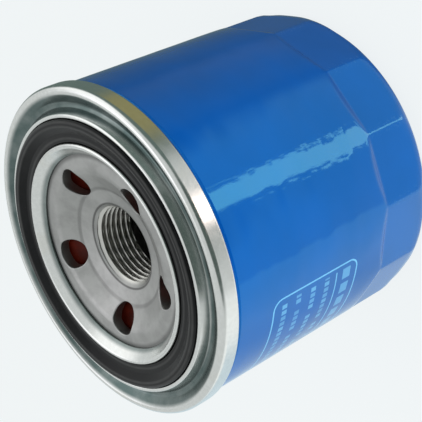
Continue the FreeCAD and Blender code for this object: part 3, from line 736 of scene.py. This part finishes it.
def gasket_section(s):
    """The gasket: a level inner lip, and a slope up to the sealing band."""
    return rounded([
        (s.gasket_inside, s.groove_floor, 0.35), (s.gasket_radius, s.groove_floor, 0.35),
        (s.gasket_radius, s.gasket_top, 0.6), (s.gasket_radius - 1.6, s.gasket_top, 0.5),
        (s.gasket_crease, s.gasket_top - 1.25, 0.3), (s.gasket_inside, s.gasket_top - 1.2, 0.4),
    ])


SECTOR_STEPS, EDGE_STEPS, HOLE_RINGS = 64, 14, 16
BAND_INSIDE, BAND_OUTSIDE = 13.6, 23.0
MOUTH_DEPTH, THREAD_STEP = 0.16, 0.078
HOLE_ROLL = 0.3


def plate_chain(s):
    """The plate's section from the thread's mouth over the top, round the rim and back to the neck's end."""
    t, flange_top, shelf_end = s.plate_sheet, s.groove_floor - s.lid_sheet, s.shelf_radius + 4.8
    under_hub, under_shelf = s.hub_top - t, s.shelf_top - t
    mouth = mouth_radius(s, s.hub_top - MOUTH_DEPTH)
    return rounded([
        (mouth, s.hub_top - MOUTH_DEPTH), (s.thread_major + 0.55, s.hub_top, 0.12),
        (s.hub_radius, s.hub_top + 0.9, 0.6), (s.shelf_radius - 1.1, s.shelf_top - 0.3, 1.0),
        (s.shelf_radius, s.shelf_top, 1.8), (shelf_end, s.shelf_top, 0.7), (shelf_end + 1.3, flange_top, 0.4),
        (s.plate_radius, flange_top, 0.4), (s.plate_radius, flange_top - t, 0.4),
        (shelf_end + 1.0, flange_top - t, 1.0), (shelf_end - 0.5, under_shelf, 1.0),
        (s.shelf_radius - 0.1, under_shelf, 1.2), (s.hub_radius, under_hub + 0.7, 1.0),
        (s.neck_radius, under_hub, 0.6), (s.neck_radius, s.neck_bottom, 0.5), (s.thread_major, s.neck_bottom),
    ], closed=False)


def mouth_radius(s, height):
    """The countersinks at both ends of the bore, as a radius at a height."""
    above = (height - (s.hub_top - 1.2)) * (s.thread_major + 0.55 - s.thread_minor) / 1.2
    below = (s.neck_bottom + 0.8 - height) * (s.thread_major - s.thread_minor) / 0.8
    return s.thread_minor + np.maximum(np.maximum(above, below), 0)


def thread_bore(s, angle):
    """The threaded bore on a grid of height and angle.

    A turn is the standard 60 degree form: root flat an eighth of the pitch, crest flat a quarter, and a
    straight flank between. Its phase is (height - pitch x angle / full turn) / pitch, which makes the helix.
    """
    top = s.hub_top - MOUTH_DEPTH
    height = np.linspace(s.neck_bottom, top, math.ceil((top - s.neck_bottom) / THREAD_STEP))[:, None]
    phase = (height - s.thread_pitch * angle[None] / (2 * math.pi)) / s.thread_pitch
    off_root = np.abs(phase % 1 - 0.5)
    depth = np.clip((3 / 8 - off_root) / (3 / 8 - 1 / 16), 0, 1) * (s.thread_major - s.thread_minor)
    radius = np.maximum(s.thread_minor + depth, mouth_radius(s, height))
    height = np.broadcast_to(height, radius.shape)
    return np.stack([radius * np.cos(angle), radius * np.sin(angle), height], axis=-1)


def split_at(chain, radii):
    """Cut a section where it crosses each radius in turn. Neighbours share the crossing point."""
    parts, rest = [], chain
    for radius in radii:
        crosses = (rest[:-1, 0] - radius) * (rest[1:, 0] - radius) < 0
        i = int(np.argmax(crosses))
        share = (radius - rest[i, 0]) / (rest[i + 1, 0] - rest[i, 0])
        cut = np.array([radius, rest[i, 1] + share * (rest[i + 1, 1] - rest[i, 1])])
        parts.append(np.vstack([rest[:i + 1], cut]))
        rest = np.vstack([cut, rest[i + 1:]])
    return parts + [rest]


def hole_band(s, band, middle, rings):
    """One inlet's share of the dished band, on a grid of ring and direction.

    The outer ring follows the share's edge, two arcs and two radial sides. The inner ring is the hole's edge
    in the same directions, and the rings between are shares of the way. Heights are read off the band's
    section.
    """
    half = math.pi / s.inlets
    inner, outer = sorted((band[0, 0], band[-1, 0]))
    sweep = np.linspace(-half, half, SECTOR_STEPS + 1)
    climb = np.linspace(inner, outer, EDGE_STEPS + 1)
    along, side = np.ones(SECTOR_STEPS), np.ones(EDGE_STEPS)
    radius = np.concatenate([climb[:-1], outer * along, climb[:0:-1], inner * along])
    angle = middle + np.concatenate([-half * side, sweep[:-1], half * side, sweep[:0:-1]])
    edge = np.stack([radius * np.cos(angle), radius * np.sin(angle)], axis=-1)
    centre = s.inlet_circle * np.array([math.cos(middle), math.sin(middle)])
    towards = edge - centre
    hole = centre + towards / np.linalg.norm(towards, axis=1, keepdims=True) * (s.inlet_radius + HOLE_ROLL)
    share = np.linspace(0, 1, rings + 1)[:, None, None] ** 1.5
    flat = hole + (edge - hole) * share
    order = np.argsort(band[:, 0])
    height = np.interp(np.linalg.norm(flat, axis=-1), band[order, 0], band[order, 1])
    return np.concatenate([flat, height[..., None]], axis=-1)


def hole_wall(s, top, under, middle):
    """The wall of a punched hole, from the rolled upper edge to the underside.

    The roll is a quarter circle that starts level at the band's first ring. Below it the wall is straight.
    """
    centre = s.inlet_circle * np.array([math.cos(middle), math.sin(middle)])
    out = (top[0, :, :2] - centre) / np.linalg.norm(top[0, :, :2] - centre, axis=1, keepdims=True)
    turn = np.linspace(0, math.pi / 2, ARC_STEPS)[:, None]
    radius = s.inlet_radius + HOLE_ROLL * (1 - np.sin(turn))
    height = top[0, :, 2] - HOLE_ROLL * (1 - np.cos(turn))
    roll = np.concatenate([centre + radius[..., None] * out, height[..., None]], axis=-1)
    foot = np.concatenate([centre + s.inlet_radius * out, under[0, :, 2:] + 0.05], axis=-1)
    return np.concatenate([roll, foot[None], under[:1]])


def plate_patches(s):
    """All of the base plate's surfaces, which meet edge to edge."""
    count = SECTOR_STEPS * s.inlets
    start = -math.pi / s.inlets
    angle = start + np.arange(count) * (2 * math.pi / count)
    cuts = [BAND_INSIDE, BAND_OUTSIDE, BAND_OUTSIDE, BAND_INSIDE]
    hub, top, rim, under, neck = split_at(plate_chain(s), cuts)
    patches = [(turned(part, count, start), False, True) for part in (hub, rim, neck)]
    patches.append((thread_bore(s, angle), False, True))
    for index in range(s.inlets):
        middle = 2 * math.pi * index / s.inlets
        above, below = hole_band(s, top, middle, HOLE_RINGS), hole_band(s, under, middle, 5)
        patches += [(grid, False, True) for grid in (above, below, hole_wall(s, above, below, middle))]
    return patches


COIL_STEPS, WIRE_STEPS = 96, 20
SPRINGS = (
    SimpleNamespace(name="hold_down_coil", node="hold_down_spring", body="root", coil=16.0, wire=2.0, turns=3,
                    bottom="hold_bottom", top="hold_top", hangs=False, joint="element_settle", travel=1.5),
    SimpleNamespace(name="bypass_coil", node="bypass_spring", body="element", coil=6.0, wire=0.9, turns=4,
                    bottom="bypass_bottom", top="bypass_top", hangs=True, joint="bypass_open", travel=3.0),
)


def coil_grid(coil, wire, bottom, top, turns):
    """A round-wire spring between two heights, on a grid of step and direction round the wire.

    The centre line is (R cos t, R sin t, rise t). The wire's circle stands square to it: a point is the
    centre plus half the wire times (cos u outward + sin u across), where across is (a sin t, -a cos t, b),
    and a and b are the sine and cosine of the helix's slope. Each end closes on its centre.
    """
    turn = np.linspace(0, 2 * math.pi * turns, COIL_STEPS * turns + 1)
    rise = (top - bottom - wire) / turn[-1]
    slope, level = math.atan2(rise, coil), np.zeros_like(turn)
    climb = math.sin(slope)
    outward = np.stack([np.cos(turn), np.sin(turn), level], axis=-1)
    across = np.stack([climb * np.sin(turn), -climb * np.cos(turn), level + math.cos(slope)], axis=-1)
    centre = coil * outward + np.stack([level, level, bottom + wire / 2 + rise * turn], axis=-1)
    outward, across, centre = outward[:, None], across[:, None], centre[:, None]
    around = np.linspace(0, 2 * math.pi, WIRE_STEPS, endpoint=False)[None, :, None]
    tube = centre + wire / 2 * (np.cos(around) * outward + np.sin(around) * across)
    ends = np.repeat(centre[[0, -1]], WIRE_STEPS, axis=1)
    return np.concatenate([ends[:1], tube, ends[1:]])


class FILTER_OT_can(Operator):
    """Build the painted can with its wrench flats"""

    bl_idname = "oil_filter.can"
    bl_label = "Painted can"

    def execute(self, context):
        s = sizes_in_mm(context)
        wall = turned(can_section(s), FLAT_STEPS * s.flats, s.flat_turn, flatten(s))
        mesh = mesh_from("painted_can", [(wall, False, True)])
        finish = blue_enamel(context.scene.filter_colours, s)
        add_piece("painted_can", mesh, "root", "blue_paint", finish, "can")
        return {"FINISHED"}


class FILTER_OT_lid(Operator):
    """Build the tin-plated lid with its groove, channel and rolled seam"""

    bl_idname = "oil_filter.lid"
    bl_label = "Seaming lid"

    def execute(self, context):
        s = sizes_in_mm(context)
        mesh = mesh_from("tinned_lid", [(turned(lid_section(s), RING_STEPS), True, True)])
        finish = tin_plate(context.scene.filter_colours, "tin_plate", 0.13, s)
        add_piece("tinned_lid", mesh, "root", "tin_plate", finish, "seaming_lid")
        return {"FINISHED"}


class FILTER_OT_plate(Operator):
    """Build the dished base plate with its inlets and threaded neck"""

    bl_idname = "oil_filter.plate"
    bl_label = "Base plate"

    def execute(self, context):
        s = sizes_in_mm(context)
        mesh = mesh_from("dished_plate", plate_patches(s))
        finish = pressed_steel(context.scene.filter_colours, "pressed_steel", 1.0, s)
        add_piece("dished_plate", mesh, "root", "plate_steel", finish, "base_plate")
        finish_nodes(finish, "lid_welds")
        return {"FINISHED"}


class FILTER_OT_gasket(Operator):
    """Build the rubber gasket"""

    bl_idname = "oil_filter.gasket"
    bl_label = "Gasket"

    def execute(self, context):
        s = sizes_in_mm(context)
        mesh = mesh_from("rubber_gasket", [(turned(gasket_section(s), RING_STEPS), True, True)])
        # Radii of the gasket's edges that get painted highlight rings, with wear.
        edges = (s.gasket_radius - 0.5, s.gasket_radius - 1.5, s.gasket_inside + 1.0)
        finish = rubber("gasket_rubber", context.scene.filter_colours.rubber, 0.2, edges)
        add_piece("rubber_gasket", mesh, "root", "black_rubber", finish, "gasket")
        finish_nodes(finish, "bypass_seal")
        return {"FINISHED"}


class FILTER_OT_valve(Operator):
    """Finish the red drain-back valve"""

    bl_idname = "oil_filter.valve"
    bl_label = "Drain-back valve"

    def execute(self, context):
        # The valve colour is its red darkened with painted shade.
        finish = rubber("valve_rubber", context.scene.filter_colours.valve, 0.38)
        finish_nodes(finish, "drainback_collar", "drainback_lip")
        return {"FINISHED"}


class FILTER_OT_springs(Operator):
    """Build both springs"""

    bl_idname = "oil_filter.springs"
    bl_label = "Springs"

    def execute(self, context):
        s = sizes_in_mm(context)
        finish = spring_wire(context.scene.filter_colours)
        for spring in SPRINGS:
            bottom, top = (getattr(s, name) for name in (spring.bottom, spring.top))
            grid = coil_grid(spring.coil, spring.wire, bottom, top, spring.turns)
            piece = add_piece(spring.name, mesh_from(spring.name, [(grid, False, True)]), spring.body,
                              "spring_steel", finish, spring.node)
            held = top if spring.hangs else bottom
            held * MM
            1 - spring.travel / (top - bottom)
            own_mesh(piece)
        return {"FINISHED"}


class FILTER_OT_element(Operator):
    """Finish the filter element, the bypass valve and the seam's compound"""

    bl_idname = "oil_filter.element"
    bl_label = "Element and bypass valve"

    def execute(self, context):
        colours = context.scene.filter_colours
        finish_nodes(filter_paper(colours), "pleated_media")
        finish_nodes(cured("adhesive", colours.adhesive, 0.35), "upper_potting", "lower_potting")
        finish_nodes(cured("seam_compound", colours.compound, 0.5), "seam_sealant")
        finish_nodes(tin_plate(colours, "end_cap_tin", 0.22), "upper_end_cap", "lower_end_cap",
                     "bypass_cage", "bypass_poppet")
        finish_nodes(pressed_steel(colours, "tube_steel", 0.8), "center_tube", "media_clip")
        return {"FINISHED"}


# ---- Studio ----

FLOOR_HEIGHT, FLOOR_ALBEDO, FLOOR_GLOW = -0.0002, 0.10, 0.94
DIM_ROOM, BRIGHT_WALL = (0.13, 0.18, 0.165), (0.70, 0.73, 0.73)
# Patches of light: the way to the middle as (right, up, ahead) of the camera's place, the cosines between
# which the patch's edge fades in, and its light. A later patch covers an earlier one.
PATCHES = (
    ((-0.05, 0.8, 0.6), (0.62, 0.76), DIM_ROOM),
    ((-0.1, 0.93, -0.35), (0.72, 0.85), DIM_ROOM),
    ((0.5, -0.05, -0.85), (0.66, 0.82), (0.09, 0.12, 0.11)),
    ((0.14, 0.95, 0.22), (0.90, 0.98), (0.30, 0.28, 0.13)),
    ((-0.9, 0.44, -0.05), (0.85, 0.97), (1.25, 1.27, 1.27)),
    ((0.6, -0.6, 0.53), (0.735, 0.765), (1.05, 1.09, 1.09)),
    ((0.25, -0.42, 0.87), (0.70, 0.90), (0.67, 0.80, 0.87)),
    ((-0.99, -0.14, -0.05), (0.92, 0.98), (1.5, 1.5, 1.55)),
)
# The window is a strip: near the plane square to its first way, and close to its second.
WINDOW = SimpleNamespace(square=(0.4126, -0.91, -0.028), middle=(0.89, 0.41, -0.2), ragged=0.26,
                         side=(0.115, 0.095), end=(0.90, 0.94), light=(3.5, 3.0, 2.8))
# The key light's place, from the filter's middle, as (right, up, back) of the camera.
KEY_PLACE, KEY_WIDTH = Vector((0.16, -0.02, 0.50)), 0.35


def studio_floor(settings, colours):
    """A wide pale floor under the filter. Most of its light is its own, so the filter's shadow stays faint,
    and the filter's surfaces don't mirror it."""
    half = settings.floor_width / 2
    corners = [(-half, -half), (half, -half), (half, half), (-half, half)]
    mesh = bpy.data.meshes.new("studio_floor")
    mesh.from_pydata([(x, y, FLOOR_HEIGHT) for x, y in corners], [], [(0, 1, 2, 3)])
    floor = bpy.data.objects.new("studio_floor", mesh)
    bpy.context.scene.collection.objects.link(floor)
    material, _, shader = new_finish("studio_floor")
    shader.inputs["Base Color"].default_value = (*shaded(colours.floor, FLOOR_ALBEDO), 1.0)
    shader.inputs["Roughness"].default_value = 1.0
    shader.inputs["Specular IOR Level"].default_value = 0.0
    shader.inputs["Emission Color"].default_value = (*colours.floor, 1.0)
    shader.inputs["Emission Strength"].default_value = FLOOR_GLOW
    mesh.materials.append(material)
    for ray in ("visible_glossy", "visible_diffuse", "visible_shadow"):
        setattr(floor, ray, False)


def studio_world(settings, colours, facing):
    """Surroundings by direction: a bright room, the patches over it and a window with a ragged edge.

    facing turns (right, up, ahead) of the camera's place into the filter's frame, once, so the lights stand
    still when the view changes.
    """
    world = bpy.data.worlds.new("studio")
    world.use_nodes = True
    graph = Graph(world.node_tree)
    backdrop = next(n for n in world.node_tree.nodes if n.type == "BACKGROUND")
    direction = graph.node("ShaderNodeTexCoord", output="Generated")

    def towards(right, up, ahead):
        """How directly a ray points that way, from -1 to 1."""
        way = facing @ Vector((right, up, -ahead)).normalized()
        return graph.node("ShaderNodeVectorMath", {"operation": "DOT_PRODUCT"},
                          {0: direction, 1: tuple(way)}, "Value")

    light = BRIGHT_WALL
    for way, edge, shade in PATCHES:
        light = graph.mix(towards(*way).step(*edge), light, shade)
    ragged = WINDOW.ragged * (graph.noise(direction, 24.0, 2.0) - 0.5)
    across = (towards(*WINDOW.square).math("ABSOLUTE") + ragged).step(*WINDOW.side)
    light = graph.mix(across * towards(*WINDOW.middle).step(*WINDOW.end), light, WINDOW.light)
    seen = graph.node("ShaderNodeLightPath", output="Is Camera Ray")
    graph.put(backdrop.inputs["Color"], graph.mix(seen, light, tuple(colours.floor)))
    backdrop.inputs["Strength"].default_value = settings.world_strength
    bpy.context.scene.world = world


def soft_light(name, place, aim, width, power):
    """A square soft light at a place, pointed at another."""
    lamp = bpy.data.lights.new(name, "AREA")
    lamp.size = width
    lamp.energy = power
    lamp_object = bpy.data.objects.new(name, lamp)
    lamp_object.location = place
    lamp_object.rotation_euler = (aim - place).to_track_quat("-Z", "Y").to_euler()
    lamp_object.visible_glossy = False
    bpy.context.scene.collection.objects.link(lamp_object)


class FILTER_OT_stage(Operator):
    """Set up the floor, the light and the camera"""

    bl_idname = "oil_filter.stage"
    bl_label = "Studio"

    def execute(self, context):
        settings, colours = context.scene.filter_studio, context.scene.filter_colours
        facing = Euler(settings.camera_turn).to_matrix()
        middle = Vector((0, 0, sum(c.z for c in CAN_BOX) / 2))
        studio_floor(settings, colours)
        studio_world(settings, colours, facing)
        soft_light("key_light", middle + facing @ KEY_PLACE, middle, KEY_WIDTH, settings.key_power)
        view = bpy.data.cameras.new("front_view")
        view.lens = settings.lens
        view.clip_start = 0.01
        camera = bpy.data.objects.new("front_view", view)
        camera.location = settings.camera_place
        camera.rotation_euler = settings.camera_turn
        context.scene.collection.objects.link(camera)
        context.scene.camera = camera
        context.scene.view_settings.view_transform = "Standard"
        return {"FINISHED"}


OPERATORS = (FILTER_OT_can, FILTER_OT_lid, FILTER_OT_plate, FILTER_OT_gasket, FILTER_OT_valve,
             FILTER_OT_springs, FILTER_OT_element, FILTER_OT_stage)


class FILTER_PT_panel(Panel):
    """Lists the operators in the sidebar"""

    bl_label = "Spin-on oil filter"
    bl_space_type = "VIEW_3D"
    bl_region_type = "UI"
    bl_category = "Oil filter"

    def draw(self, context):
        for operator in OPERATORS:
            self.layout.operator(operator.bl_idname)


CLASSES = (FilterSizes, FilterColours, StudioSettings, *OPERATORS, FILTER_PT_panel)
SETTINGS = {"filter_sizes": FilterSizes, "filter_colours": FilterColours, "filter_studio": StudioSettings}


def register():
    for kind in CLASSES:
        bpy.utils.register_class(kind)
    for name, group in SETTINGS.items():
        setattr(bpy.types.Scene, name, PointerProperty(type=group))


def unregister():
    for name in SETTINGS:
        delattr(bpy.types.Scene, name)
    for kind in reversed(CLASSES):
        bpy.utils.unregister_class(kind)


def main():
    """Build everything in order."""
    register()
    for operator in OPERATORS:
        group, name = operator.bl_idname.split(".")
        getattr(getattr(bpy.ops, group), name)()


if __name__ == "__main__":
    main()
